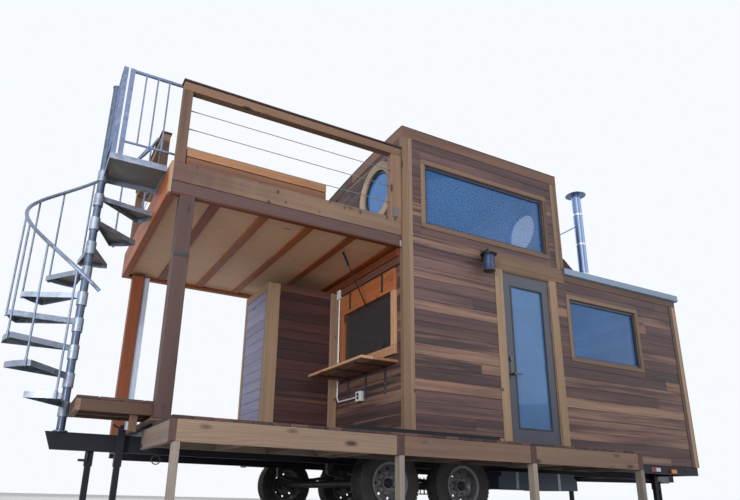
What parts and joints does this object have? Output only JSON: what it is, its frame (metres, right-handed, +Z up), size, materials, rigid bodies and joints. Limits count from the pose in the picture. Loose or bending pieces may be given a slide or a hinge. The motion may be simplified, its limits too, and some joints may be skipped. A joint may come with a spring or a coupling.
{
  "type": "tiny house on wheels",
  "caption": "Timber tiny house on a two-axle trailer, with an arched tall room, low room, porch, roof deck, spiral stair and hinged glass door.",
  "frame": {"origin": "on the ground under the middle of the whole, hitch and stair counted", "axes": "+X along the house from the stair to the hitch, +Y from the front deck to the back, +Z up"},
  "size_m": [9.3698, 3.41, 4.36],
  "materials": {
    "frame_steel": "satin",
    "fender_steel": "satin",
    "tank_plastic": "matte",
    "rim_steel": "satin",
    "tyre_rubber": "matte",
    "stair_steel": "dull zinc",
    "guard_steel": "dull zinc",
    "deck_wood": "oiled",
    "weathered_wood": "bare",
    "beam_wood": "stained",
    "plywood": "bare",
    "cable_steel": "bright",
    "gutter_metal": "gloss",
    "siding_wood": "stained",
    "roof_skin": "matte",
    "roof_metal": "satin",
    "trim_wood": "stained",
    "window_metal": "satin",
    "window_glass": "clear",
    "hatch_wood": "oiled",
    "black_iron": "satin",
    "door_paint": "satin paint",
    "door_glass": "clear",
    "handle_metal": "satin",
    "flue_steel": "bright",
    "cricket_skin": "matte"
  },
  "bodies": {
    "house": {"main_rails": "frame_steel", "side_rails": "frame_steel", "cross_members": "frame_steel", "hitch_arms": "frame_steel", "coupler": "frame_steel", "axles": "frame_steel", "fenders": "fender_steel", "jacks": "frame_steel", "water_tank": "tank_plastic", "stair_pole": "stair_steel", "stair_treads": "stair_steel", "stair_railing": "stair_steel", "stair_landing": "stair_steel", "landing_guard": "guard_steel", "landing_step": "deck_wood", "porch_floor": "deck_wood", "front_deck_frame": "deck_wood", "front_deck_boards": "deck_wood", "deck_legs": "weathered_wood", "porch_posts": "beam_wood", "roof_deck_frame": "beam_wood", "roof_deck_floor": "plywood", "porch_ceiling": "plywood", "ceiling_battens": "hatch_wood", "deck_railing": "beam_wood", "railing_cables": "cable_steel", "planter": "deck_wood", "downspout": "gutter_metal", "house_floor": "plywood", "front_wall_left": "siding_wood", "front_wall_upper": "siding_wood", "front_wall_right": "siding_wood", "back_wall": "siding_wood", "porch_wall": "siding_wood", "loft_wall": "siding_wood", "low_end_wall": "siding_wood", "closet": "siding_wood", "tall_roof": "roof_skin", "low_roof": "roof_metal", "house_trim": "trim_wood", "window_frames": "window_metal", "window_glass": "window_glass", "serving_window": "hatch_wood", "counter": "hatch_wood", "counter_brackets": "black_iron", "door_hinges": "black_iron", "lantern": "black_iron", "chimney": "flue_steel", "roof_cricket": "cricket_skin"},
    "entrance_door": {"door_leaf": "door_paint", "door_glass": "door_glass", "door_handle": "handle_metal"},
    "wheel_front_left": {"rim_front_left": "rim_steel", "tyre_front_left": "tyre_rubber"},
    "wheel_front_right": {"rim_front_right": "rim_steel", "tyre_front_right": "tyre_rubber"},
    "wheel_back_left": {"rim_back_left": "rim_steel", "tyre_back_left": "tyre_rubber"},
    "wheel_back_right": {"rim_back_right": "rim_steel", "tyre_back_right": "tyre_rubber"}
  },
  "joints": [
    {"name": "entrance_door_hinge", "type": "hinge", "parent": "house", "child": "entrance_door", "pos_m": [1.022, -0.913, 1.766], "axis": [0, 0, -1], "range_deg": [0, 105]},
    {"name": "front_left_wheel_spin", "type": "hinge", "parent": "house", "child": "wheel_front_left", "pos_m": [-1.26, -0.9325, 0.33], "axis": [0, 1, 0], "continuous": true},
    {"name": "front_right_wheel_spin", "type": "hinge", "parent": "house", "child": "wheel_front_right", "pos_m": [-0.41, -0.9325, 0.33], "axis": [0, 1, 0], "continuous": true},
    {"name": "back_left_wheel_spin", "type": "hinge", "parent": "house", "child": "wheel_back_left", "pos_m": [-1.26, 1.5725, 0.33], "axis": [0, 1, 0], "continuous": true},
    {"name": "back_right_wheel_spin", "type": "hinge", "parent": "house", "child": "wheel_back_right", "pos_m": [-0.41, 1.5725, 0.33], "axis": [0, 1, 0], "continuous": true}
  ]
}
